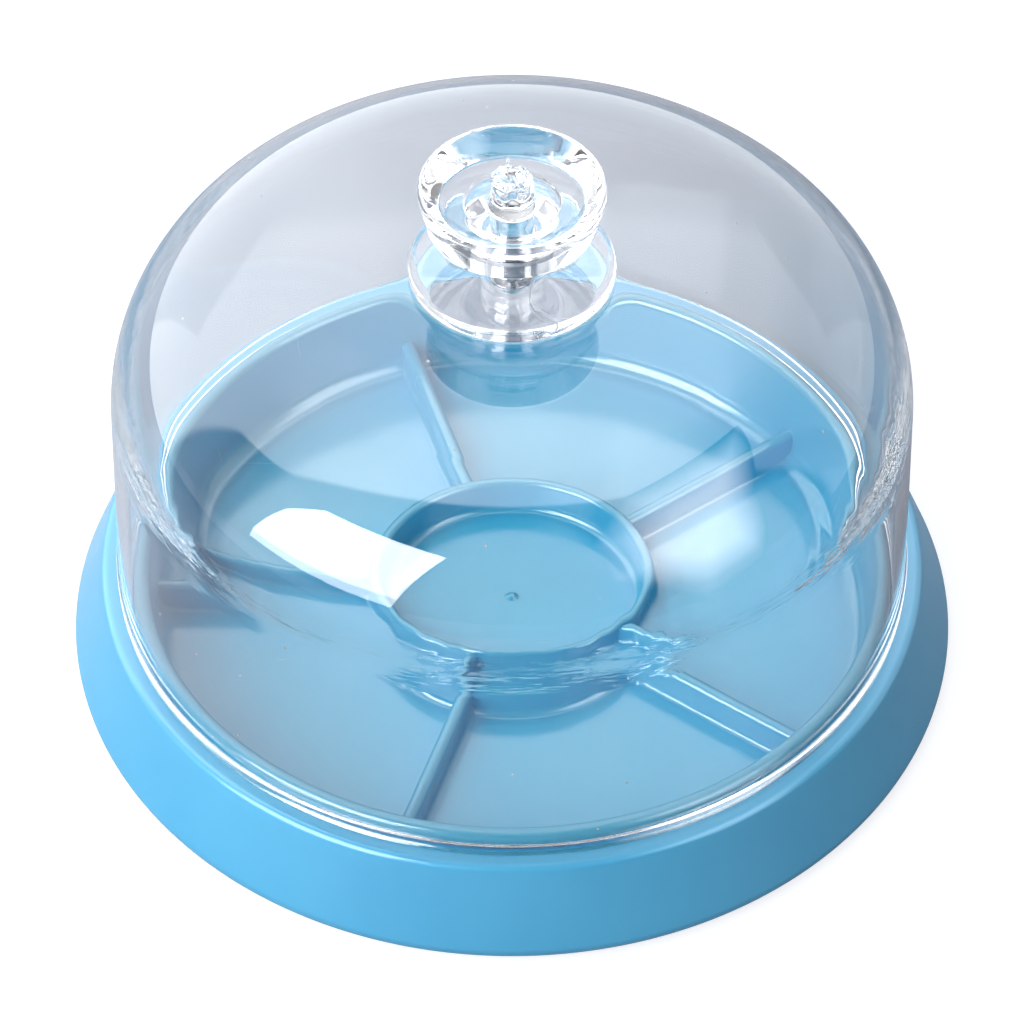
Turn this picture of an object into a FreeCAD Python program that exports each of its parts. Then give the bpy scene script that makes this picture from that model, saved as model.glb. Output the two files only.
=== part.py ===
import FreeCAD, Part
import math
import os

# Round covered palette: a skirted pedestal, a drop-in tray divided into compartments, and a clear
# domed cover lifted by a clear knob. Millimetres, +Z up, origin at the centre of the footprint.
# Every ring profile below is a list of corners (radius from the axis, height, corner rounding).

# Driving dimensions
WALL = 2.4                  # moulded wall of the pedestal
FOOT_R = 112.1              # outer edge of the ring that stands on the table
SKIRT_R = 115.45            # corner of the skirt just above the foot; its rounding leaves 115.0
SKIRT_Z = 3.3
SHOULDER_R = 106.1          # where the skirt cone would meet the shoulder
SHOULDER_Z = 26.4           # flat shoulder that carries the cover
MOUTH_R = 98.7              # hole that the tray drops into
LEDGE_R = 96.8              # inner edge of the ledge under the tray's rim
LEDGE_Z = 22.4

TRAY_RIM_R = 98.4
TRAY_RIM_Z = 30.2
TRAY_MOUTH_R = 94.5         # inside of the rim
TRAY_FLOOR_R = 92.8         # inside, where the wall meets the floor
TRAY_FLOOR_Z = 5.0
TRAY_WALL = 2.0
WELL_R = 37.7               # outside of the ring round the middle well
WELL_RING = 3.0
WELL_Z = 15.0
RIB_COUNT = 5
RIB_FIRST_DEG = 36.0
RIB_WIDTH = 3.6
RIB_Z = 13.5

COVER_WALL = 2.5
COVER_DRAFT = math.radians(1.95)
KNUCKLE_R = 39.8            # rounded corner between the cover's wall and its crown
KNUCKLE_CENTRE = (60.1, 83.2)
CROWN_R = 1000.0
CROWN_WALL = 1.1            # the wall thins to this on its way up the knuckle
THIN_START = 1.0            # way up the knuckle where the thinning starts
THIN_LENGTH = 29.0
THIN_POWER = 1.3            # above 1 the thinning sets in gently
SKIN_STEPS = 28             # points that the inner skin of the knuckle is drawn through
COVER_BEAD = 0.5            # thickened band at the cover's rim
COVER_BEAD_H = 3.6
KNOB_SEAT_Z = 124.7         # flat on top of the crown
BOSS_R = 6.0                # inside of the crown: a shallow cone round the screw
BOSS_FOOT_R = 27.0
BOSS_T = 3.0

FLANGE_R = 25.3
FLANGE_T = 3.4
POST_R = 5.2
POST_COLLAR_R = 6.3
POST_COLLAR_T = 1.8
POST_TOP_Z = 144.6
HEAD_R = 22.7
HEAD_LIP = 0.6              # width of the flat edge round the dish
HEAD_UNDER_R = 20.4         # lower corner of the head
HEAD_UNDER_Z = 141.0
HEAD_TOP_Z = 152.5
HEAD_BELLY_R = 12.0         # where the shallow underside turns into the stem
HEAD_BELLY_Z = 139.0
HEAD_STEM_R = 7.4
HEAD_STEM_Z = 130.4
DISH_BEND_R = 16.5
DISH_BEND_Z = 148.4
DISH_FLOOR_R = 11.3
DISH_FLOOR_Z = 146.1
DISH_STEP = 0.8             # height of the ring round the dish's flat floor
GATE_R = 5.2                # stub of the moulding gate
GATE_Z = 154.6              # its broken face
GATE_TIP_Z = 159.4          # tip of the tallest torn shard
SHARD_ROOT = 0.3            # how far the shards reach down into the stub
SHARDS = (                  # x, y, foot radius, tip radius, share of the tallest shard's height
    (-0.9, 3.3, 1.1, 0.2, 1.0),
    (2.8, 1.6, 1.3, 0.4, 0.5),
    (-3.2, -0.6, 1.0, 0.3, 0.35),
)

SCREW_R = 1.9
SCREW_HEAD_R = 3.8
SCREW_HEAD_T = 2.4
SCREW_TOP_Z = 137.0
RECESS_W = 0.9              # arms of the cross recess in the screw's head
RECESS_L = 4.6
RECESS_T = 1.3
WASHER_R = 5.5
WASHER_T = 0.8

FIT_GAP = 0.05              # radial play of a pressed or turning fit
SCREW_PLAY = 0.3            # radial play of the screw in the cover's hole


def ring_point(radius, height):
    return FreeCAD.Vector(radius, 0, height)


def rounded_wire(corners):
    """Closed wire through the corners, each with its own rounding radius (0 for a sharp one)."""
    points = [ring_point(r, z) for r, z, _ in corners]
    count = len(points)
    starts, ends, arcs = [], [], []
    for i, (_, _, radius) in enumerate(corners):
        here = points[i]
        back = (points[i - 1] - here).normalize()
        ahead = (points[(i + 1) % count] - here).normalize()
        if radius == 0:
            starts.append(here)
            ends.append(here)
            arcs.append(None)
            continue
        half = back.getAngle(ahead) / 2
        run = radius / math.tan(half)
        bisector = (back + ahead).normalize()
        middle = here + bisector * (radius / math.sin(half) - radius)
        starts.append(here + back * run)
        ends.append(here + ahead * run)
        arcs.append(Part.Arc(starts[-1], middle, ends[-1]).toShape())
    edges = []
    for i in range(count):
        if arcs[i]:
            edges.append(arcs[i])
        target = starts[(i + 1) % count]
        if (target - ends[i]).Length > 1e-6:
            edges.append(Part.LineSegment(ends[i], target).toShape())
    return Part.Wire(edges)


def turned(wire):
    """Solid of revolution of a closed profile about the vertical axis."""
    return Part.Face(wire).revolve(FreeCAD.Vector(0, 0, 0), FreeCAD.Vector(0, 0, 1), 360)


def disc(radius, low, high):
    return Part.makeCylinder(radius, high - low, FreeCAD.Vector(0, 0, low))


def pedestal_base():
    """Skirted ring: outer cone, shoulder for the cover, and a ledge for the tray."""
    mouth_wall_r = MOUTH_R + WALL
    foot_inner_r = FOOT_R - WALL
    return turned(rounded_wire([
        (foot_inner_r, 0, 0.6),
        (FOOT_R, 0, 0.8),
        (SKIRT_R, SKIRT_Z, 3.0),
        (SHOULDER_R, SHOULDER_Z, 2.4),
        (MOUTH_R, SHOULDER_Z, 0.5),
        (MOUTH_R, LEDGE_Z, 0.2),
        (LEDGE_R, LEDGE_Z, 0.4),
        (LEDGE_R, LEDGE_Z - WALL, 0.4),
        (mouth_wall_r, LEDGE_Z - WALL, 1.2),
        (mouth_wall_r, SHOULDER_Z - WALL, 0.8),
        (SHOULDER_R - 1.6, SHOULDER_Z - WALL, 1.2),
        (SKIRT_R - 2.7, SKIRT_Z + 0.6, 1.5),
    ]))


def tray_outside():
    """Outer corners of the tray, from the middle of its underside up to the rim's foot."""
    return [
        (0, TRAY_FLOOR_Z - TRAY_WALL, 0),
        (TRAY_FLOOR_R + TRAY_WALL, TRAY_FLOOR_Z - TRAY_WALL, 7.0),
        (TRAY_MOUTH_R + 1.6, LEDGE_Z, 0.3),
    ]


def tray_shell():
    """Tray with a thick rim that rests on the pedestal's ledge; floor hangs clear of the table."""
    rim_round = (TRAY_RIM_R - TRAY_MOUTH_R) / 2 - 0.01
    return turned(rounded_wire(tray_outside() + [
        (TRAY_RIM_R, LEDGE_Z, 0.5),
        (TRAY_RIM_R, TRAY_RIM_Z, rim_round),
        (TRAY_MOUTH_R, TRAY_RIM_Z, rim_round),
        (TRAY_FLOOR_R, TRAY_FLOOR_Z, 5.0),
        (0, TRAY_FLOOR_Z, 0),
    ]))


def well_ring():
    """Raised ring round the middle well, with flared roots inside and out."""
    inner_r = WELL_R - WELL_RING
    top_round = WELL_RING / 2 - 0.05
    root = 2.6
    floor = TRAY_FLOOR_Z - 0.5
    return turned(rounded_wire([
        (inner_r - root, floor, 0),
        (WELL_R + root, floor, 0),
        (WELL_R + root, TRAY_FLOOR_Z, 0),
        (WELL_R + 0.3, TRAY_FLOOR_Z + 0.1, 2.2),
        (WELL_R, WELL_Z, top_round),
        (inner_r, WELL_Z, top_round),
        (inner_r - 0.3, TRAY_FLOOR_Z + 0.1, 2.2),
        (inner_r - root, TRAY_FLOOR_Z, 0),
    ]))


def rib(angle):
    """One dividing rib with a round top and flared root, from the well's ring to the tray's wall."""
    half = RIB_WIDTH / 2
    root = 1.8
    start = WELL_R - WELL_RING / 2
    floor = TRAY_FLOOR_Z - 0.5
    section = rounded_wire([
        (-half - root, floor, 0),
        (half + root, floor, 0),
        (half + root, TRAY_FLOOR_Z, 0),
        (half + 0.25, TRAY_FLOOR_Z + 0.1, 1.4),
        (half, RIB_Z, half - 0.05),
        (-half, RIB_Z, half - 0.05),
        (-half - 0.25, TRAY_FLOOR_Z + 0.1, 1.4),
        (-half - root, TRAY_FLOOR_Z, 0),
    ])
    length = TRAY_FLOOR_R + 1.4 - start
    bar = Part.Face(section).extrude(FreeCAD.Vector(0, -length, 0))
    bar.translate(FreeCAD.Vector(0, -start, 0))
    bar.rotate(FreeCAD.Vector(0, 0, 0), FreeCAD.Vector(0, 0, 1), angle + 90)
    return bar.common(turned(rounded_wire(tray_outside() + [(0, LEDGE_Z, 0)])))


def divided_tray():
    nub = Part.makeCone(1.1, 0.5, 1.2, FreeCAD.Vector(0, 0, TRAY_FLOOR_Z - 0.4))
    pieces = [well_ring(), nub]
    for i in range(RIB_COUNT):
        pieces.append(rib(RIB_FIRST_DEG + i * 360 / RIB_COUNT))
    return tray_shell().multiFuse(pieces).removeSplitter()


def thinning(way):
    """Share of the change from wall to crown thickness reached that far up the knuckle."""
    share = min(1.0, max(0.0, (way - THIN_START) / THIN_LENGTH))
    return math.sin(share * math.pi / 2) ** THIN_POWER


def cover_dome():
    """Clear shell with a thickened rim band, a screw hole, and a conical boss inside the crown."""
    knuckle_r, knuckle_z = KNUCKLE_CENTRE
    crown_z = knuckle_z - math.sqrt((CROWN_R - KNUCKLE_R) ** 2 - knuckle_r ** 2)
    crown_angle = math.atan2(knuckle_z - crown_z, knuckle_r)
    seat_r = math.sqrt(CROWN_R ** 2 - (KNOB_SEAT_Z - crown_z) ** 2)
    hole_r = SCREW_R + SCREW_PLAY

    def on_knuckle(angle, depth=0.0):
        radius = KNUCKLE_R - depth
        return ring_point(knuckle_r + radius * math.cos(angle), knuckle_z + radius * math.sin(angle))

    def on_crown(distance, depth=0.0):
        return ring_point(distance, crown_z + math.sqrt((CROWN_R - depth) ** 2 - distance ** 2))

    wall_top = on_knuckle(COVER_DRAFT)
    wall_foot = ring_point(wall_top.x + (wall_top.z - SHOULDER_Z) * math.tan(COVER_DRAFT), SHOULDER_Z)
    crown_start = on_knuckle(crown_angle)
    seat_edge = ring_point(seat_r, KNOB_SEAT_Z)
    hole_edge = ring_point(hole_r, KNOB_SEAT_Z)
    knuckle_middle = on_knuckle((COVER_DRAFT + crown_angle) / 2)
    crown_middle = on_crown((crown_start.x + seat_r) / 2)

    skin = []
    for i in range(SKIN_STEPS + 1):
        angle = COVER_DRAFT + (crown_angle - COVER_DRAFT) * i / SKIN_STEPS
        way = KNUCKLE_R * (angle - COVER_DRAFT)
        skin.append(on_knuckle(angle, COVER_WALL + (CROWN_WALL - COVER_WALL) * thinning(way)))
    inner_foot = ring_point(wall_foot.x - COVER_WALL / math.cos(COVER_DRAFT), SHOULDER_Z)
    boss_foot = on_crown(BOSS_FOOT_R, CROWN_WALL)
    boss_z = KNOB_SEAT_Z - CROWN_WALL - BOSS_T
    boss_edge = ring_point(BOSS_R, boss_z)
    inner_hole = ring_point(hole_r, boss_z)
    knuckle_skin = Part.BSplineCurve()
    knuckle_skin.interpolate(skin)
    crown_skin_middle = on_crown((skin[-1].x + BOSS_FOOT_R) / 2, CROWN_WALL)
    shell = turned(Part.Wire([
        Part.LineSegment(wall_foot, wall_top).toShape(),
        Part.Arc(wall_top, knuckle_middle, crown_start).toShape(),
        Part.Arc(crown_start, crown_middle, seat_edge).toShape(),
        Part.LineSegment(seat_edge, hole_edge).toShape(),
        Part.LineSegment(hole_edge, inner_hole).toShape(),
        Part.LineSegment(inner_hole, boss_edge).toShape(),
        Part.LineSegment(boss_edge, boss_foot).toShape(),
        Part.Arc(boss_foot, crown_skin_middle, skin[-1]).toShape(),
        knuckle_skin.toShape(),
        Part.LineSegment(skin[0], inner_foot).toShape(),
        Part.LineSegment(inner_foot, wall_foot).toShape(),
    ]))
    bead_r = wall_foot.x + COVER_BEAD
    bead_top = SHOULDER_Z + COVER_BEAD_H
    bead = turned(rounded_wire([
        (wall_foot.x - 1.2, SHOULDER_Z, 0),
        (bead_r, SHOULDER_Z, 0.4),
        (bead_r, bead_top, 0.3),
        (wall_foot.x - 1.2, bead_top + 0.3, 0),
    ]))
    return shell.fuse(bead).removeSplitter()


def knob_flange():
    """Clear disc under the knob that spreads its pull over the crown."""
    bore = POST_R + FIT_GAP
    top = KNOB_SEAT_Z + FLANGE_T
    return turned(rounded_wire([
        (bore, KNOB_SEAT_Z, 0.2),
        (FLANGE_R, KNOB_SEAT_Z, 0.9),
        (FLANGE_R, top, 1.2),
        (bore, top, 0.2),
    ]))


def knob_post():
    """Bright metal post: a collar clamps the flange, a blind threaded hole takes the screw."""
    collar_z = KNOB_SEAT_Z + FLANGE_T
    body = turned(rounded_wire([
        (0, KNOB_SEAT_Z, 0),
        (POST_R, KNOB_SEAT_Z, 0.3),
        (POST_R, collar_z, 0),
        (POST_COLLAR_R, collar_z, 0.4),
        (POST_COLLAR_R, collar_z + POST_COLLAR_T, 0.6),
        (POST_R, collar_z + POST_COLLAR_T, 0.3),
        (POST_R, POST_TOP_Z, 0.5),
        (0, POST_TOP_Z, 0),
    ]))
    bore_top = SCREW_TOP_Z + 1.0
    return body.cut(disc(SCREW_R + FIT_GAP, KNOB_SEAT_Z - 1, bore_top))


def knob_head():
    """Clear head on a short stem: dished top, and a torn gate stub in the dish's middle."""
    socket_r = POST_R + FIT_GAP
    body = turned(rounded_wire([
        (0, POST_TOP_Z, 0),
        (socket_r, POST_TOP_Z, 0),
        (socket_r, HEAD_STEM_Z, 0.2),
        (HEAD_STEM_R, HEAD_STEM_Z, 0.8),
        (HEAD_BELLY_R, HEAD_BELLY_Z, 4.0),
        (HEAD_UNDER_R, HEAD_UNDER_Z, 1.2),
        (HEAD_R, HEAD_TOP_Z - 2 * HEAD_LIP, 1.6),
        (HEAD_R - HEAD_LIP, HEAD_TOP_Z, 0.35),
        (HEAD_R - 2 * HEAD_LIP, HEAD_TOP_Z, 0.35),
        (DISH_BEND_R, DISH_BEND_Z, 12.0),
        (DISH_FLOOR_R + DISH_STEP / 2, DISH_FLOOR_Z + DISH_STEP, 0.5),
        (DISH_FLOOR_R, DISH_FLOOR_Z, 0.3),
        (GATE_R + 0.4, DISH_FLOOR_Z, 0.8),
        (GATE_R - 0.3, GATE_Z, 0.5),
        (0, GATE_Z, 0),
    ]))
    shards = []
    for x, y, foot_r, tip_r, share in SHARDS:
        foot = FreeCAD.Vector(x, y, GATE_Z - SHARD_ROOT)
        height = (GATE_TIP_Z - GATE_Z) * share + SHARD_ROOT
        shards.append(Part.makeCone(foot_r, tip_r, height, foot))
    return body.multiFuse(shards).removeSplitter()


def knob_screw():
    """Pan-head machine screw, driven upwards through the crown into the post."""
    seat = KNOB_SEAT_Z - CROWN_WALL - BOSS_T - WASHER_T
    low = seat - SCREW_HEAD_T
    body = turned(rounded_wire([
        (0, low, 0),
        (SCREW_HEAD_R, low, 1.4),
        (SCREW_HEAD_R, seat, 0.2),
        (SCREW_R, seat, 0),
        (SCREW_R, SCREW_TOP_Z, 0.6),
        (0, SCREW_TOP_Z, 0),
    ]))
    for width, length in ((RECESS_W, RECESS_L), (RECESS_L, RECESS_W)):
        corner = FreeCAD.Vector(-width / 2, -length / 2, low - RECESS_T)
        body = body.cut(Part.makeBox(width, length, 2 * RECESS_T, corner))
    return body


def screw_washer():
    """Flat washer between the screw's head and the boss inside the crown."""
    top = KNOB_SEAT_Z - CROWN_WALL - BOSS_T
    return turned(rounded_wire([
        (SCREW_R + FIT_GAP, top - WASHER_T, 0.1),
        (WASHER_R, top - WASHER_T, 0.2),
        (WASHER_R, top, 0.2),
        (SCREW_R + FIT_GAP, top, 0.1),
    ]))


NODES = {
    "pedestal_base": pedestal_base,
    "divided_tray": divided_tray,
    "cover_dome": cover_dome,
    "knob_flange": knob_flange,
    "knob_post": knob_post,
    "knob_head": knob_head,
    "knob_screw": knob_screw,
    "screw_washer": screw_washer,
}

os.makedirs("parts", exist_ok=True)
for name, make in NODES.items():
    shape = make()
    shape.exportStep(f"parts/{name}.step")
    box = shape.BoundBox
    print(f"{name}: solids {len(shape.Solids)} valid {shape.isValid()} volume {shape.Volume:.0f} "
          f"r {box.XMax:.2f} z {box.ZMin:.2f}..{box.ZMax:.2f}")
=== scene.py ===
import bmesh
import bpy
import math
from mathutils import Matrix, Vector, noise


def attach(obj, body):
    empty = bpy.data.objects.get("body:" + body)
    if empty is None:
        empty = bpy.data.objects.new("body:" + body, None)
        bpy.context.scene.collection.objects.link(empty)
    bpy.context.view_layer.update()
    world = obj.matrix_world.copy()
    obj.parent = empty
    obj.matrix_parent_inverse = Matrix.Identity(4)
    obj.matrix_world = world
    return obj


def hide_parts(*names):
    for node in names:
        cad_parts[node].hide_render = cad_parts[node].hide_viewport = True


# Round covered palette: blue pedestal and divided tray under a clear dome with a clear knob.
# Profiles are lists of corners (radius, height, rounding) in millimetres; meshes are in metres.

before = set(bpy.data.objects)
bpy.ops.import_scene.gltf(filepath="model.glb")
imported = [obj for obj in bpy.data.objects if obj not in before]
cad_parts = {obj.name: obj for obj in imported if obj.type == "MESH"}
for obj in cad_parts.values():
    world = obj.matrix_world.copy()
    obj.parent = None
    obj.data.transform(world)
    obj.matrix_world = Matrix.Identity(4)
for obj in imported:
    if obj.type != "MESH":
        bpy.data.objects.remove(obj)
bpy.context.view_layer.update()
MM = 0.001
ON_AXIS = 1e-6              # a profile point nearer the axis than this lies on it

# Pedestal
PEDESTAL_WALL = 2.4
FOOT_R = 112.1              # outer edge of the ring that stands on the table
SKIRT_R = 115.45            # corner of the skirt just above the foot
SKIRT_Z = 3.3
SKIRT_INSIDE = 2.7          # how far the skirt's inside lies in from that corner
SHOULDER_R = 106.1          # where the skirt cone would meet the shoulder
SHOULDER_Z = 26.4           # flat shoulder that carries the cover
SHOULDER_INSIDE = 1.6
MOUTH_R = 98.7              # hole that the tray drops into
LEDGE_R = 96.8              # inner edge of the ledge under the tray's rim
LEDGE_Z = 22.4

# Tray
TRAY_RIM_R = 98.4
TRAY_RIM_Z = 30.2
TRAY_MOUTH_R = 94.5         # inside of the rim
TRAY_RIM_FOOT = 1.6         # how far the rim's foot lies outside its mouth
TRAY_FLOOR_R = 92.8         # inside, where the wall meets the floor
TRAY_FLOOR_Z = 5.0
TRAY_WALL = 2.0
WELL_R = 37.7               # outside of the ring round the middle well
WELL_RING = 3.0
WELL_Z = 15.0
WELL_SLOPE = 0.3            # how far the ring's foot spreads on each side
WELL_ROOT = 2.2             # rounding at the ring's foot
NUB_R = 0.7                 # small moulding nub in the middle of the well
NUB_FOOT_R = 1.9
NUB_H = 0.9
RIB_COUNT = 5
RIB_FIRST = math.radians(36)
RIB_WIDTH = 3.6
RIB_Z = 13.5
RIB_SLOPE = 0.25            # how far a rib's foot spreads on each side
RIB_ROOT = 1.8              # strip of floor beside a rib that its rounding takes up
GAP_COLUMNS = 40            # mesh columns across each compartment

# Cover
COVER_WALL = 2.5
CROWN_WALL = 1.1            # the wall thins to this on its way up the knuckle
COVER_DRAFT = math.radians(1.95)
KNUCKLE_R = 39.8            # rounded corner between the cover's wall and its crown
KNUCKLE_CENTRE = Vector((60.1, 83.2))
CROWN_R = 1000.0
COVER_BEAD = 0.5            # thickened band at the cover's rim
COVER_BEAD_H = 3.6
KNOB_SEAT_Z = 124.7         # flat on top of the crown
HOLE_R = 2.2
BOSS_R = 6.0                # inside of the crown: a shallow cone round the screw
BOSS_FOOT_R = 27.0
BOSS_T = 3.0
WALL_ROWS = 14              # mesh rows of the wall, the knuckle, the crown and the knob's seat
KNUCKLE_ROWS = 56
CROWN_ROWS = 10
SEAT_ROWS = 8
COVER_COLUMNS = 512
THIN_START = 1.0            # way up the knuckle where the thinning starts
THIN_RISE = 4.0             # way over which it sets in
THIN_HOLD = 8.0             # way at which it starts to ease off
THIN_FALL = 22.0            # way over which it eases off
THIN_END = 70               # last run in the table of the thinning, beyond the knuckle's end
THIN_STEP = 0.4             # way between two values of that table
WANDERS = ((1.3, 9, 0.3), (0.8, 26, 4.1))   # reach in mm, fineness and seed: how that start wanders
RIPPLE_Z = 88               # middle of the band where the inner skin is rippled
RIPPLE_REACH = 7
SKIN_SPLIT = 0.8            # less than any wall of the knuckle: deeper points are on the inner skin

# Knob
AIR_GAP = 0.04              # hair of air that parts two clear pieces
FIT_GAP = 0.05              # radial play of a pressed fit
FLANGE_R = 25.3
FLANGE_T = 3.4
POST_R = 5.2
POST_COLLAR_R = 6.3
POST_COLLAR_T = 1.8
POST_TOP_Z = 144.6
HEAD_R = 22.7
HEAD_LIP = 0.6              # width of the flat edge round the dish
HEAD_SHOULDER = 1.2         # height of the bevel under that edge
HEAD_UNDER_R = 20.4         # lower corner of the head
HEAD_UNDER_Z = 141.0
HEAD_TOP_Z = 152.5
HEAD_BELLY_R = 12.0         # where the shallow underside turns into the stem
HEAD_BELLY_Z = 139.0
HEAD_STEM_R = 7.4
HEAD_STEM_Z = 130.4
DISH_BEND_R = 16.5
DISH_BEND_Z = 148.4
DISH_FLOOR_R = 11.3
DISH_FLOOR_Z = 146.1
DISH_STEP = 0.8             # height of the ring round the dish's flat floor
GATE_R = 5.2                # stub of the moulding gate
GATE_Z = 154.6              # its broken face, that the torn shards stand on
GATE_TIP_Z = 159.4          # nothing stands higher than this
GATE_FOOT = 0.4             # how far the stub's foot spreads
GATE_TAPER = 0.3            # how far its top draws in
TEAR_H = 3.0                # the tearing starts this high above the dish's floor

# Torn plastic on the gate: (x, y, height, half width, stretch, turn in degrees) of each shard
SHARDS = (
    (-0.9, 3.3, 4.9, 0.8, 1.3, 80),
    (1.6, 3.0, 1.8, 0.7, 2.6, 15),
    (3.2, 2.0, 2.2, 0.6, 2.4, -40),
    (-3.1, 1.8, 1.5, 0.7, 2.2, 50),
    (3.9, -0.6, 1.6, 0.5, 2.6, 75),
    (-3.6, -1.2, 1.2, 0.6, 2.2, -60),
    (1.2, -2.6, 0.8, 0.6, 2.4, 10),
    (-1.4, -3.0, 0.9, 0.5, 2.6, -15),
)

# ---------------------------------------------------------------- profiles


def rounded(corners, turn=math.radians(9)):
    """Points along a closed profile of (radius, height, rounding) corners, with the roundings as arcs."""
    points = []
    for i, (r, z, rounding) in enumerate(corners):
        here = Vector((r, z))
        if rounding == 0:
            points.append(here)
            continue
        back = (Vector(corners[i - 1][:2]) - here).normalized()
        ahead = (Vector(corners[(i + 1) % len(corners)][:2]) - here).normalized()
        half = back.angle(ahead) / 2
        centre = here + (back + ahead).normalized() * rounding / math.sin(half)
        spoke = here + back * rounding / math.tan(half) - centre
        sweep = math.pi - 2 * half
        if back.x * ahead.y - back.y * ahead.x > 0:
            sweep = -sweep
        steps = max(2, math.ceil(abs(sweep) / turn))
        for k in range(steps + 1):
            points.append(centre + Matrix.Rotation(sweep * k / steps, 2) @ spoke)
    return points


def spread(points, longest, closed=True):
    """The same line with every run divided so that no piece of it is longer than that.

    A run along the axis stays whole."""
    out = []
    count = len(points)
    for i, here in enumerate(points):
        out.append(here)
        if i == count - 1 and not closed:
            break
        ahead = points[(i + 1) % count]
        if here.x < ON_AXIS and ahead.x < ON_AXIS:
            continue
        parts = math.ceil((ahead - here).length / longest)
        out += [here.lerp(ahead, k / parts) for k in range(1, parts)]
    return out


def noise_at(x, y, fineness, seed):
    """Smooth noise between about -1 and 1."""
    return noise.noise(Vector((x * fineness, y * fineness, seed)))


def smooth(share):
    """Ease from 0 to 1, level at both ends."""
    share = min(1.0, max(0.0, share))
    return share * share * (3 - 2 * share)


# ---------------------------------------------------------------- meshes


def put(name, data):
    """New object in the scene."""
    made = bpy.data.objects.new(name, data)
    bpy.context.scene.collection.objects.link(made)
    return made


def surface(name, rows, columns, place, sharp=35):
    """Closed skin of rows x columns points, round in both ways; place(row, column) gives a point in mm."""
    mesh = bpy.data.meshes.new(name)
    points = [Vector(place(i, j)) * MM for i in range(rows) for j in range(columns)]
    faces = []
    for i in range(rows):
        a, b = i * columns, (i + 1) % rows * columns
        for j in range(columns):
            k = (j + 1) % columns
            faces.append((a + j, a + k, b + k, b + j))
    mesh.from_pydata(points, [], faces)
    work = bmesh.new()
    work.from_mesh(mesh)
    bmesh.ops.remove_doubles(work, verts=work.verts, dist=1e-6)
    bmesh.ops.recalc_face_normals(work, faces=work.faces)
    work.to_mesh(mesh)
    work.free()
    mesh.shade_smooth()
    mesh.set_sharp_from_angle(angle=math.radians(sharp))
    return put(name, mesh)


def lathe(name, profile, columns, shift=None, sharp=35):
    """Turned piece. shift(point, angle) may move a profile point at an angle."""

    def place(i, j):
        angle = 2 * math.pi * j / columns
        point = profile[i]
        if shift:
            point = shift(point, angle)
        return (point.x * math.cos(angle), point.x * math.sin(angle), point.y)

    return surface(name, len(profile), columns, place, sharp)


def pedestal():
    """Skirted ring, open below, with a shoulder for the cover and a ledge for the tray."""
    mouth_outside = MOUTH_R + PEDESTAL_WALL
    under_ledge = LEDGE_Z - PEDESTAL_WALL
    under_shoulder = SHOULDER_Z - PEDESTAL_WALL
    corners = [
        (FOOT_R - PEDESTAL_WALL, 0, 0.6), (FOOT_R, 0, 0.8), (SKIRT_R, SKIRT_Z, 3.0),
        (SHOULDER_R, SHOULDER_Z, 2.4), (MOUTH_R, SHOULDER_Z, 0.5), (MOUTH_R, LEDGE_Z, 0.2),
        (LEDGE_R, LEDGE_Z, 0.4), (LEDGE_R, under_ledge, 0.4), (mouth_outside, under_ledge, 1.2),
        (mouth_outside, under_shoulder, 0.8), (SHOULDER_R - SHOULDER_INSIDE, under_shoulder, 1.2),
        (SKIRT_R - SKIRT_INSIDE, SKIRT_Z + 0.6, 1.5),
    ]
    return lathe("pedestal_shell", spread(rounded(corners), longest=3), columns=360)


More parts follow.
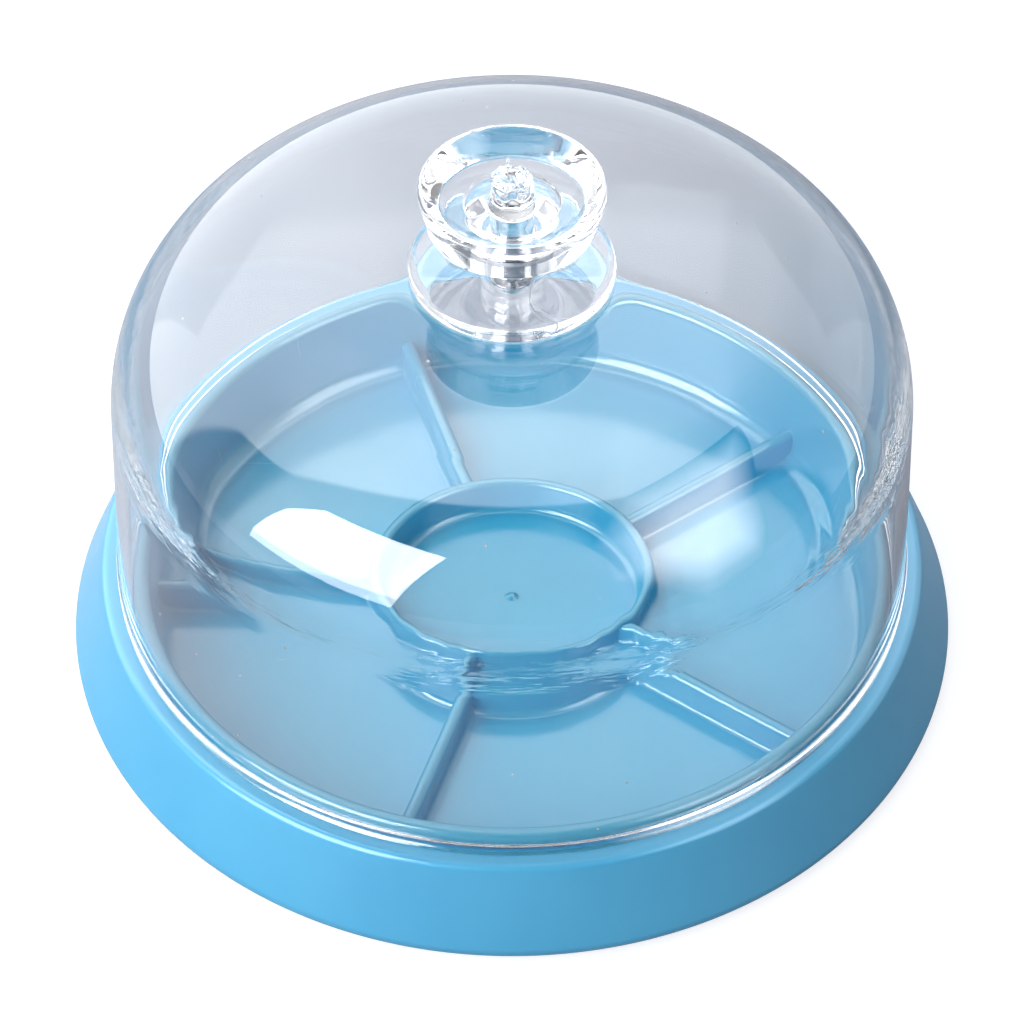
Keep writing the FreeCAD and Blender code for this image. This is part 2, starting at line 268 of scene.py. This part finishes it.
def tray():
    """Tray skin as rings that follow its profile, with columns that run along each side of every rib."""
    # Roundings over a top stay a hair under half its width, so that their arcs don't meet
    rim_round = (TRAY_RIM_R - TRAY_MOUTH_R) / 2 - 0.01
    top_round = WELL_RING / 2 - 0.05
    inner = WELL_R - WELL_RING
    under = TRAY_FLOOR_Z - TRAY_WALL
    rings = spread(rounded([
        (TRAY_MOUTH_R + TRAY_RIM_FOOT, LEDGE_Z, 0.3), (TRAY_RIM_R, LEDGE_Z, 0.5),
        (TRAY_RIM_R, TRAY_RIM_Z, rim_round), (TRAY_MOUTH_R, TRAY_RIM_Z, rim_round),
        (TRAY_FLOOR_R, TRAY_FLOOR_Z, 5.0),
        (WELL_R + WELL_SLOPE, TRAY_FLOOR_Z, WELL_ROOT), (WELL_R, WELL_Z, top_round),
        (inner, WELL_Z, top_round), (inner - WELL_SLOPE, TRAY_FLOOR_Z, WELL_ROOT),
        (NUB_FOOT_R, TRAY_FLOOR_Z, 0.6), (NUB_R, TRAY_FLOOR_Z + NUB_H, 0.4),
        (0, TRAY_FLOOR_Z + NUB_H, 0), (0, under, 0), (TRAY_FLOOR_R + TRAY_WALL, under, 7.0),
    ]), longest=1.6)
    half = RIB_WIDTH / 2
    edge = half + RIB_ROOT
    section = spread(rounded([
        (-edge, TRAY_FLOOR_Z, 0), (-half - RIB_SLOPE, TRAY_FLOOR_Z, 1.4), (-half, RIB_Z, half - 0.05),
        (half, RIB_Z, half - 0.05), (half + RIB_SLOPE, TRAY_FLOOR_Z, 1.4), (edge, TRAY_FLOOR_Z, 0),
    ]), longest=1.2, closed=False)
    step = 2 * math.pi / RIB_COUNT
    columns = []            # (rib number, distance across it, share of the gap after it, height)
    for k in range(RIB_COUNT):
        columns += [(k, point.x, 0, point.y) for point in section]
        columns += [(k, edge, share / GAP_COLUMNS, 0) for share in range(1, GAP_COLUMNS)]
    rim_row = max(range(len(rings)), key=lambda i: rings[i].y)
    pole_row = next(i for i, point in enumerate(rings) if point.x < ON_AXIS)

    def place(i, j):
        r, z = rings[i]
        k, across, share, height = columns[j]
        rib_r = max(r, WELL_R - 1)          # inside the well the columns go on as plain spokes
        spin = math.asin(across / rib_r)
        gap = step - 2 * math.asin(edge / rib_r)
        angle = RIB_FIRST + k * step + spin + gap * share
        if rim_row < i < pole_row and r > WELL_R - WELL_RING / 2:
            z = max(z, height)
        return (r * math.cos(angle), r * math.sin(angle), z)

    return surface("tray_moulding", len(rings), len(columns), place, sharp=38)


def thinning_table():
    """Share of the change from wall to crown thickness reached at every step up the knuckle."""
    sums = [0.0]
    while len(sums) * THIN_STEP < THIN_END:
        run = len(sums) * THIN_STEP
        slope = smooth(run / THIN_RISE) * (1 - smooth((run - THIN_HOLD) / THIN_FALL))
        sums.append(sums[-1] + slope * THIN_STEP)
    return [value / sums[-1] for value in sums]


def dome():
    """Cover: the outer skin is drawn, and the inner one lies below it by the wall's thickness."""
    cx, cz = KNUCKLE_CENTRE
    crown_z = cz - math.sqrt((CROWN_R - KNUCKLE_R) ** 2 - cx ** 2)
    crown_angle = math.atan2(cz - crown_z, cx)
    arc = KNUCKLE_R * (crown_angle - COVER_DRAFT)
    normal = Vector((math.cos(COVER_DRAFT), math.sin(COVER_DRAFT)))
    wall_top = KNUCKLE_CENTRE + normal * KNUCKLE_R
    foot_z = SHOULDER_Z + AIR_GAP
    foot_r = wall_top.x + (wall_top.y - SHOULDER_Z) * math.tan(COVER_DRAFT)
    seat_r = math.sqrt(CROWN_R ** 2 - (KNOB_SEAT_Z - crown_z) ** 2)

    bead = ((0, 0), (0.6, 0), (1, 0.3), (1, COVER_BEAD_H - 0.3), (0.7, COVER_BEAD_H),
            (0, COVER_BEAD_H + 0.25))
    outer = [Vector((foot_r + COVER_BEAD * out, foot_z + up)) for out, up in bead]
    wall_length = (wall_top - outer[-1]).length
    rows = []               # (point on the outer skin, its normal, run up the knuckle)
    for k in range(1, WALL_ROWS):
        share = k / WALL_ROWS
        rows.append((outer[-1].lerp(wall_top, share), normal, -wall_length * (1 - share)))
    for k in range(KNUCKLE_ROWS + 1):
        angle = COVER_DRAFT + (crown_angle - COVER_DRAFT) * k / KNUCKLE_ROWS
        spoke = Vector((math.cos(angle), math.sin(angle)))
        rows.append((KNUCKLE_CENTRE + spoke * KNUCKLE_R, spoke, arc * k / KNUCKLE_ROWS))
    crown_r = rows[-1][0].x
    for k in range(1, CROWN_ROWS + 1):
        r = crown_r + (seat_r - crown_r) * k / CROWN_ROWS
        rise = math.sqrt(CROWN_R ** 2 - r * r)
        rows.append((Vector((r, crown_z + rise)), Vector((r, rise)) / CROWN_R, arc + crown_r - r))
    for k in range(1, SEAT_ROWS + 1):
        r = seat_r + (HOLE_R - seat_r) * k / SEAT_ROWS
        rows.append((Vector((r, KNOB_SEAT_Z)), Vector((0, 1)), arc + crown_r - r))

    outside = outer + [row[0] for row in rows]
    inside = rows[::-1]
    foot_inner = Vector((foot_r - COVER_WALL, foot_z))
    table = thinning_table()

    def thinning(run):
        """Share of the change of thickness at that run, read between two steps of the table."""
        spot = min(max(run / THIN_STEP, 0), len(table) - 1.001)
        low = int(spot)
        return table[low] + (table[low + 1] - table[low]) * (spot - low)

    def wander(angle):
        """How far up or down the knuckle the thinning starts at that angle round the cover."""
        c, s = math.cos(angle), math.sin(angle)
        return sum(reach * noise_at(c, s, fineness, seed) for reach, fineness, seed in WANDERS)

    def boss(r):
        """Extra thickness under the knob: a shallow cone round the screw."""
        return (BOSS_T - AIR_GAP) * max(0.0, min(1.0, (BOSS_FOOT_R - r) / (BOSS_FOOT_R - BOSS_R)))

    def place(i, j):
        angle = 2 * math.pi * j / COVER_COLUMNS
        if i < len(outside):
            point = outside[i]
        elif i < len(outside) + len(inside):
            spot, outwards, run = inside[i - len(outside)]
            thinned = thinning(run - THIN_START - wander(angle))
            thickness = COVER_WALL + (CROWN_WALL - COVER_WALL) * thinned + boss(spot.x)
            point = spot - outwards * thickness
        else:
            point = foot_inner
        return (point.x * math.cos(angle), point.x * math.sin(angle), point.y)

    shell = surface("dome_shell", len(outside) + len(inside) + 1, COVER_COLUMNS, place, sharp=40)
    flow = shell.data.attributes.new("mould_flow", "FLOAT", "POINT")
    for vertex, share in zip(shell.data.vertices, flow.data):
        r, z = math.hypot(vertex.co.x, vertex.co.y) / MM, vertex.co.z / MM
        deep = math.hypot(r - cx, z - cz) < KNUCKLE_R - SKIN_SPLIT
        share.value = max(0.0, 1 - abs(z - RIPPLE_Z) / RIPPLE_REACH) if deep and r > cx else 0.0
    return shell


def flange():
    low, top = KNOB_SEAT_Z + AIR_GAP, KNOB_SEAT_Z + FLANGE_T
    bore = POST_R + FIT_GAP
    return lathe("flange_disc", spread(rounded([
        (bore, low, 0.2), (FLANGE_R, low, 0.9), (FLANGE_R, top, 1.2), (bore, top, 0.2),
    ]), longest=1.5), columns=256)


def post():
    low, top = KNOB_SEAT_Z + AIR_GAP, POST_TOP_Z - AIR_GAP
    collar_low = KNOB_SEAT_Z + FLANGE_T + AIR_GAP
    collar_top = collar_low + POST_COLLAR_T
    return lathe("post_metal", spread(rounded([
        (0, low, 0), (POST_R, low, 0.3), (POST_R, collar_low, 0),
        (POST_COLLAR_R, collar_low, 0.4), (POST_COLLAR_R, collar_top, 0.6),
        (POST_R, collar_top, 0.3), (POST_R, top, 0.5), (0, top, 0),
    ]), longest=1.0), columns=192)


def torn(x, y):
    """Height of the torn gate: leaning shards with a rough break between them."""
    height = 0.3 + 0.7 * noise_at(x, y, fineness=0.5, seed=1.7)
    height += 0.14 * noise_at(x, y, fineness=2.3, seed=5.2)
    for cx, cy, rise, half, stretch, turn in SHARDS:
        c, s = math.cos(math.radians(turn)), math.sin(math.radians(turn))
        along = ((x - cx) * c + (y - cy) * s) / (half * stretch)
        across = ((y - cy) * c - (x - cx) * s) / half
        ragged = 0.25 * noise_at(x, y, fineness=3.0, seed=cx)
        height = max(height, rise * (1 - math.hypot(along, across) + ragged))
    return max(height, 0.0)


def head():
    """Dished head with the torn stub of the gate in its middle and a socket for the post below."""
    socket = POST_R + FIT_GAP
    gate_foot = GATE_R + GATE_FOOT
    tear_z = DISH_FLOOR_Z + TEAR_H
    profile = spread(rounded([
        (0, POST_TOP_Z, 0), (socket, POST_TOP_Z, 0), (socket, HEAD_STEM_Z, 0.2),
        (HEAD_STEM_R, HEAD_STEM_Z, 0.8), (HEAD_BELLY_R, HEAD_BELLY_Z, 4.0),
        (HEAD_UNDER_R, HEAD_UNDER_Z, 1.2), (HEAD_R, HEAD_TOP_Z - HEAD_SHOULDER, 1.6),
        (HEAD_R - HEAD_LIP, HEAD_TOP_Z, 0.35), (HEAD_R - 2 * HEAD_LIP, HEAD_TOP_Z, 0.35),
        (DISH_BEND_R, DISH_BEND_Z, 12.0), (DISH_FLOOR_R + DISH_STEP / 2, DISH_FLOOR_Z + DISH_STEP, 0.5),
        (DISH_FLOOR_R, DISH_FLOOR_Z, 0.3), (gate_foot, DISH_FLOOR_Z, 0.8),
        (GATE_R - GATE_TAPER, GATE_Z, 0.5), (0, GATE_Z, 0),
    ]), longest=0.4)

    def shift(point, angle):
        """Upper part of the stub: swollen unevenly and raised into shards."""
        if point.y < tear_z or point.x > gate_foot:
            return point
        fade = min(1.0, (point.y - tear_z) / (GATE_Z - tear_z))
        x, y = point.x * math.cos(angle), point.x * math.sin(angle)
        swell = 1 + 0.12 * fade * noise_at(x, y, fineness=0.5, seed=point.y * 0.6)
        return Vector((point.x * swell, min(point.y + fade * fade * torn(x, y), GATE_TIP_Z)))

    return lathe("head_dish", profile, columns=256, shift=shift, sharp=30)


# ---------------------------------------------------------------- materials


class Nodes:
    """Short calls for the shader nodes of one tree."""

    def __init__(self, tree):
        self.nodes = tree.nodes
        self.links = tree.links

    def node(self, kind, inputs=None, **settings):
        """New node; its inputs are values or the sockets of other nodes."""
        made = self.nodes.new("ShaderNode" + kind)
        for key, value in settings.items():
            setattr(made, key, value)
        for key, value in (inputs or {}).items():
            if isinstance(value, bpy.types.NodeSocket):
                self.links.new(value, made.inputs[key])
            else:
                made.inputs[key].default_value = value
        return made

    def ramp(self, value, low, high, out_low=0.0, out_high=1.0, kind="LINEAR"):
        """value from low..high to out_low..out_high, held at the ends."""
        return self.node("MapRange", {"Value": value, "From Min": low, "From Max": high,
                                      "To Min": out_low, "To Max": out_high},
                         interpolation_type=kind).outputs[0]

    def math(self, kind, a, b=0.0):
        return self.node("Math", {0: a, 1: b}, operation=kind).outputs[0]

    def rest(self, value):
        """What is missing to 1."""
        return self.math("SUBTRACT", 1.0, value)


class Shader(Nodes):
    """A new material with a Principled shader, and short calls for what feeds it."""

    def __init__(self, name, **sockets):
        self.material = bpy.data.materials.new(name)
        self.material.use_nodes = True
        super().__init__(self.material.node_tree)
        self.shader = self.nodes["Principled BSDF"]
        for socket, value in sockets.items():
            self.shader.inputs[socket.replace("_", " ")].default_value = value
        self.place = self.node("TexCoord").outputs["Object"]

    def feed(self, socket, value):
        self.links.new(value, self.shader.inputs[socket])

    def show(self, shader):
        """Make that shader the material's surface."""
        self.links.new(shader, self.nodes["Material Output"].inputs["Surface"])

    def noise(self, scale, detail=3.0, stretch=None):
        place = self.place
        if stretch:
            place = self.node("Mapping", {"Vector": place, "Scale": stretch}).outputs[0]
        return self.node("TexNoise", {"Vector": place, "Scale": scale, "Detail": detail}).outputs["Fac"]

    def mix(self, share, a, b):
        """Colour between a and b."""
        return self.node("Mix", {0: share, 6: a, 7: b}, data_type="RGBA").outputs[2]

    def specks(self, scale, size, share):
        """1 on a few small specks, 0 elsewhere: cell centres nearer than size, in some of the cells."""
        cells = self.node("TexVoronoi", {"Vector": self.place, "Scale": scale, "Randomness": 1.0})
        near = self.ramp(cells.outputs["Distance"], size, size * 0.6)
        chosen = self.node("SeparateColor", {"Color": cells.outputs["Color"]}).outputs[0]
        return self.math("MULTIPLY", near, self.math("LESS_THAN", chosen, share))

    def bump(self, height, distance, strength=1.0, under=None):
        made = self.node("Bump", {"Height": height, "Distance": distance, "Strength": strength})
        if under:
            self.links.new(under, made.inputs["Normal"])
        return made.outputs[0]


def blue_plastic(name, dark, pale, shine, dust, haze):
    """Moulded plastic with a faint flow in its colour, specks of dust, fine scratches and soft ripples."""
    made = Shader(name, IOR=1.5, Specular_IOR_Level=shine, Subsurface_Weight=0.06,
                  Subsurface_Radius=(0.2, 0.6, 1.0), Subsurface_Scale=0.002,
                  Coat_Weight=haze, Coat_Roughness=0.5)
    flow = made.noise(22, 4)
    blue = made.mix(made.ramp(flow, 0.3, 0.7), dark, pale)
    flecks = made.specks(170, 0.05, dust)
    made.feed("Base Color", made.mix(flecks, blue, (0.62, 0.74, 0.84, 1)))
    scratches = made.ramp(made.noise(60, 2, stretch=(1, 14, 1)), 0.66, 0.74)
    gloss = made.ramp(made.noise(35, 5), 0.2, 0.8, 0.13, 0.23)
    made.feed("Roughness", made.math("ADD", gloss, made.math("MULTIPLY", scratches, 0.08)))
    ripple = made.bump(made.noise(16, 2), 0.0004, 0.12)
    made.feed("Normal", made.bump(made.noise(1400, 2), 0.00003, 0.15, under=ripple))
    return made.material


def curved_scratch(made, x, y, radius):
    """1 on a hair-thin arc: the left half of the circle round (x, y), all in millimetres."""
    across, along = made.node("SeparateXYZ", {0: made.place}).outputs[:2]
    flat = made.node("CombineXYZ", {0: across, 1: along}).outputs[0]
    away = made.node("VectorMath", {0: flat, 1: (x * MM, y * MM, 0)}, operation="DISTANCE").outputs["Value"]
    off = made.math("ABSOLUTE", made.math("SUBTRACT", away, radius * MM))
    hair = made.ramp(off, 0.00016, 0.00008)
    return made.math("MULTIPLY", hair, made.math("LESS_THAN", across, x * MM))


def mould_ripples(made):
    """Fine ripples where the wall starts to thin, long round the cover and short up it."""
    per_radian, per_metre = 9.0, 420.0
    x, y, z = made.node("SeparateXYZ", {0: made.place}).outputs
    around = made.math("MULTIPLY", made.math("ARCTAN2", y, x), per_radian)
    spot = made.node("CombineXYZ", {0: around, 1: made.math("MULTIPLY", z, per_metre)}).outputs[0]
    ripples = made.node("TexNoise", {"Vector": spot, "Scale": 1.0, "Detail": 2.0}).outputs["Fac"]
    share = made.node("Attribute", attribute_name="mould_flow").outputs["Fac"]
    return made.math("MULTIPLY", ripples, share)


def clear_plastic(name, dust, waviness, ripple=0.0, scratch=None):
    """Clear moulding with dust and fine scratches.

    ripple is the depth of the mould ripples in metres, scratch a curved scratch's (x, y, radius) in mm."""
    made = Shader(name, IOR=1.5)
    flecks = made.specks(150, 0.06, dust)
    haze = made.ramp(made.noise(14, 4), 0.45, 0.8, 0.0, 0.02)
    fine = made.ramp(made.noise(90, 2, stretch=(1, 1, 9)), 0.70, 0.76)
    if scratch:
        line = curved_scratch(made, *scratch)
        flecks = made.math("MAXIMUM", flecks, made.math("MULTIPLY", line, 0.7))
    made.feed("Transmission Weight", made.rest(made.math("MULTIPLY", flecks, 0.8)))
    made.feed("Base Color", made.mix(flecks, (0.985, 0.99, 1.0, 1), (0.86, 0.87, 0.90, 1)))
    rough = made.math("ADD", haze, made.math("MULTIPLY", flecks, 0.6))
    made.feed("Roughness", made.math("ADD", rough, made.math("MULTIPLY", fine, 0.03)))
    wave = made.bump(made.noise(18, 1), 0.001, waviness)
    if ripple:
        wave = made.bump(mould_ripples(made), ripple, under=wave)
    made.feed("Normal", made.bump(flecks, 0.0001, 0.6, under=wave))
    # Lamps shine through to what the clear piece covers
    shadow = made.node("LightPath").outputs["Is Shadow Ray"]
    through = made.node("BsdfTransparent", {"Color": (0.955, 0.96, 0.965, 1)}).outputs[0]
    made.show(made.node("MixShader", {0: shadow, 1: made.shader.outputs[0], 2: through}).outputs[0])
    return made.material


def metal(name, colour, smoothest, roughest, grain):
    """Turned metal; grain stretches its fine lines."""
    made = Shader(name, Metallic=1.0)
    darker = tuple(c * 0.86 for c in colour[:3]) + (1,)
    made.feed("Base Color", made.mix(made.noise(120, 3), darker, colour))
    made.feed("Roughness", made.ramp(made.noise(260, 4, stretch=grain), 0.3, 0.7, smoothest, roughest))
    made.feed("Normal", made.bump(made.noise(900, 2, stretch=grain), 0.00002, 0.2))
    return made.material


# ---------------------------------------------------------------- the pieces


def dress(piece, material, body, node):
    piece.data.materials.append(material)
    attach(piece, body)
    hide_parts(node)


blue = blue_plastic("blue_plastic", dark=(0.075, 0.450, 0.770, 1), pale=(0.092, 0.500, 0.820, 1),
                    shine=0.5, dust=0.02, haze=0.8)
tray_blue = blue_plastic("tray_plastic", dark=(0.070, 0.535, 0.810, 1), pale=(0.090, 0.580, 0.860, 1),
                         shine=1.0, dust=0.05, haze=0.0)
clear_cover = clear_plastic("clear_cover", dust=0.09, waviness=0.02, ripple=0.00022)
clear_knob = clear_plastic("clear_knob", dust=0.02, waviness=0.03)
clear_flange = clear_plastic("clear_flange", dust=0.02, waviness=0.03, scratch=(13.5, -10.8, 9.3))
chrome = metal("bright_metal", (0.86, 0.86, 0.88, 1), smoothest=0.03, roughest=0.09, grain=(1, 1, 8))
steel = metal("screw_steel", (0.62, 0.62, 0.63, 1), smoothest=0.18, roughest=0.32, grain=(1, 1, 12))

dress(pedestal(), blue, "pedestal", "pedestal_base")
dress(tray(), tray_blue, "tray", "divided_tray")
dress(dome(), clear_cover, "cover", "cover_dome")
dress(flange(), clear_flange, "cover", "knob_flange")
dress(post(), chrome, "cover", "knob_post")
dress(head(), clear_knob, "cover", "knob_head")
for node in ("knob_screw", "screw_washer"):
    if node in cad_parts:
        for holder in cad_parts[node].material_slots:
            holder.material = steel

# ---------------------------------------------------------------- stage, light and camera

AIM = Vector((0, 0, 0.05))
SHEET_DISTANCE = 3.0
TABLE_HALF = 12.0
TABLE_DROP = 0.0002         # keeps the table's face just under the foot
TABLE_GLOW = 0.77           # seen by the camera only
ROOM_BRIGHT = 1.3           # back half of the room
ROOM_DROP = 0.36            # how much less bright the backdrop in its middle is
ROOM_RIGHT = 0.38           # share of the brightness that is left far to the right
ROOM_SETBACK = 0.21         # how much further back the bright half starts, low on the left
FRONT_DARK = 0.03           # front half of the room
FRONT_LEFT = 0.40           # what its far left and far right add to that
FRONT_RIGHT = 0.10
ROOM_SEEN = 0.95            # what the camera itself sees
# Extra brightness seen by the gloss: outer surface, short ways through clear plastic, long ways
GLOSS_OUTER, GLOSS_SHORT, GLOSS_LONG = 2.8, -0.25, 1.4
SHORT_WAY = 4.5             # a path with fewer bends than this is a short one
BOUNCES = 40
WHITE = (1, 1, 1, 1)


def direction(azimuth, elevation):
    """Unit vector; the azimuth is counted from +X, the right, and both angles are in degrees."""
    a, e = math.radians(azimuth), math.radians(elevation)
    return Vector((math.cos(e) * math.cos(a), math.cos(e) * math.sin(a), math.sin(e)))


def lamp(name, towards, distance, width, height, radiance):
    """Rectangular lamp for the matt surfaces only; its power follows from the radiance wanted."""
    light = bpy.data.lights.new(name, "AREA")
    light.shape = "RECTANGLE"
    light.size, light.size_y = width, height
    light.energy = radiance * math.pi * width * height
    holder = put(name, light)
    holder.location = AIM + towards * distance
    holder.rotation_mode = "QUATERNION"
    holder.rotation_quaternion = towards.to_track_quat("Z", "Y")
    holder.visible_glossy = False
    holder.visible_transmission = False


def lit_sheet(name, corners, radiance, soft=0.01):
    """Sheet that only the gloss sees; corners are directions (azimuth, height angle) in degrees.

    soft is the share of the way from the edge to the middle over which its light fades in."""
    mesh = bpy.data.meshes.new(name)
    points = [AIM + direction(*corner) * SHEET_DISTANCE for corner in corners]
    middle = sum(points, Vector()) / len(points)
    count = len(points)
    mesh.from_pydata(points + [middle], [], [(k, (k + 1) % count, count) for k in range(count)])
    inward = mesh.attributes.new("inward", "FLOAT", "POINT")
    inward.data[count].value = 1.0
    sheet = put(name, mesh)
    made = Shader(name)
    bounced = made.node("LightPath").outputs["Diffuse Depth"]
    way_in = made.node("Attribute", attribute_name="inward").outputs["Fac"]
    fade = made.ramp(way_in, 0.0, soft, 0.0, radiance)
    strength = made.math("MULTIPLY", made.math("LESS_THAN", bounced, 0.5), fade)
    made.show(made.node("Emission", {"Color": WHITE, "Strength": strength}).outputs[0])
    made.material.cycles.emission_sampling = "NONE"
    sheet.data.materials.append(made.material)
    sheet.visible_camera = False
    sheet.visible_diffuse = False
    sheet.visible_shadow = False


def table_top():
    """Pale paper with painted shade, darker towards the right, that glows for the camera alone."""
    mesh = bpy.data.meshes.new("table_top")
    half = TABLE_HALF
    mesh.from_pydata([(-half, -half, 0), (half, -half, 0), (half, half, 0), (-half, half, 0)],
                     [], [(0, 1, 2, 3)])
    table = put("table_top", mesh)
    made = Shader("table_paper", Roughness=0.7)
    across = made.node("SeparateXYZ", {0: made.place}).outputs[0]
    # Painted shade: the paper's colour darkens towards the right, standing in for the table lying in shade
    # there
    painted_shade_paper = made.mix(made.ramp(across, -0.15, 0.2), (0.55, 0.57, 0.63, 1), (0.23, 0.25, 0.30, 1))
    made.feed("Base Color", made.mix(made.noise(300, 3), painted_shade_paper, made.mix(0.02, painted_shade_paper, WHITE)))
    glow = made.node("Emission", {"Color": WHITE, "Strength": TABLE_GLOW}).outputs[0]
    seen = made.node("AddShader", {0: made.shader.outputs[0], 1: glow}).outputs[0]
    camera_ray = made.node("LightPath").outputs["Is Camera Ray"]
    made.show(made.node("MixShader", {0: camera_ray, 1: made.shader.outputs[0], 2: seen}).outputs[0])
    table.data.materials.append(made.material)
    table.location.z = -TABLE_DROP


def room():
    """Surroundings: a bright back half with a less bright backdrop in its middle, and a dark front half.

    x, y and z are the parts of the unit direction that a ray leaves in, to the right, back and up."""
    world = bpy.data.worlds.new("room")
    bpy.context.scene.world = world
    world.cycles.sampling_method = "NONE"
    world.use_nodes = True
    made = Nodes(world.node_tree)
    calc = made.math

    def step(value, low, high, out_low=0.0, out_high=1.0):
        return made.ramp(value, low, high, out_low, out_high, kind="SMOOTHSTEP")

    def between(share, a, b):
        """a where share is 1, b where it is 0."""
        return calc("ADD", calc("MULTIPLY", share, a), calc("MULTIPLY", made.rest(share), b))

    place = made.node("TexCoord").outputs["Generated"]
    x, y, z = made.node("SeparateXYZ", {0: place}).outputs
    depth = calc("MAXIMUM", y, 0.001)
    aside = calc("ABSOLUTE", calc("DIVIDE", x, depth))
    height = calc("DIVIDE", z, depth)
    low_left = calc("MULTIPLY", step(z, 0.80, 0.66), step(x, 0.1, -0.1))
    forward = calc("SUBTRACT", y, calc("MULTIPLY", low_left, ROOM_SETBACK))
    behind = step(forward, -0.01, 0.05)
    backdrop = calc("MULTIPLY", step(aside, 1.14, 1.06), step(height, 0.87, 0.81))
    bright = calc("SUBTRACT", ROOM_BRIGHT, calc("MULTIPLY", backdrop, ROOM_DROP))
    back = calc("MULTIPLY", step(x, -0.3, 0.85, 1.0, ROOM_RIGHT), bright)
    left = step(x, -0.35, -0.95, 0.0, FRONT_LEFT)
    right = step(x, 0.55, 0.97, 0.0, FRONT_RIGHT)
    front = calc("ADD", calc("ADD", left, right), FRONT_DARK)
    level = between(behind, back, front)

    path = made.node("LightPath").outputs
    gloss = calc("LESS_THAN", path["Diffuse Depth"], 0.5)
    outer = calc("LESS_THAN", path["Transmission Depth"], 0.5)
    short = calc("LESS_THAN", path["Ray Depth"], SHORT_WAY)
    extra = between(outer, GLOSS_OUTER, between(short, GLOSS_SHORT, GLOSS_LONG))
    level = calc("MULTIPLY", level, calc("ADD", 1.0, calc("MULTIPLY", gloss, extra)))
    background = made.nodes["Background"]
    made.links.new(between(path["Is Camera Ray"], ROOM_SEEN, level), background.inputs["Strength"])
    background.inputs["Color"].default_value = (0.97, 0.98, 1.0, 1)


lamp("key_lamp", direction(-133, 38), distance=3.0, width=3.0, height=2.6, radiance=3.1)
lamp("top_lamp", direction(-130, 70), distance=1.8, width=1.6, height=1.6, radiance=0.60)
lit_sheet("key_sheet", [(-161, 11), (-162, 38), (-158, 50), (-112, 51), (-120, 11)], radiance=12.0)
lit_sheet("fill_sheet", [(-2, 74), (-61, 56), (-62, 30), (-42, 0), (-24, 4), (-10, 38), (40, 57)],
          radiance=5.5, soft=0.6)
room()
table_top()

CAMERA_AIM = Vector((0, 0, 0.03951))
CAMERA_HEIGHT_ANGLE = math.radians(46.729)
CAMERA_DISTANCE = 1.02984
CAMERA_LENS = 140.49
camera = put("camera", bpy.data.cameras.new("camera"))
camera.data.lens = CAMERA_LENS
back = Vector((0, -math.cos(CAMERA_HEIGHT_ANGLE), math.sin(CAMERA_HEIGHT_ANGLE)))
camera.location = CAMERA_AIM + back * CAMERA_DISTANCE
camera.rotation_mode = "QUATERNION"
camera.rotation_quaternion = (-back).to_track_quat("-Z", "Y")
bpy.context.scene.camera = camera
bpy.context.scene.view_settings.view_transform = "Standard"
bpy.context.scene.cycles.max_bounces = BOUNCES
bpy.context.scene.cycles.transmission_bounces = BOUNCES
bpy.context.scene.cycles.glossy_bounces = BOUNCES
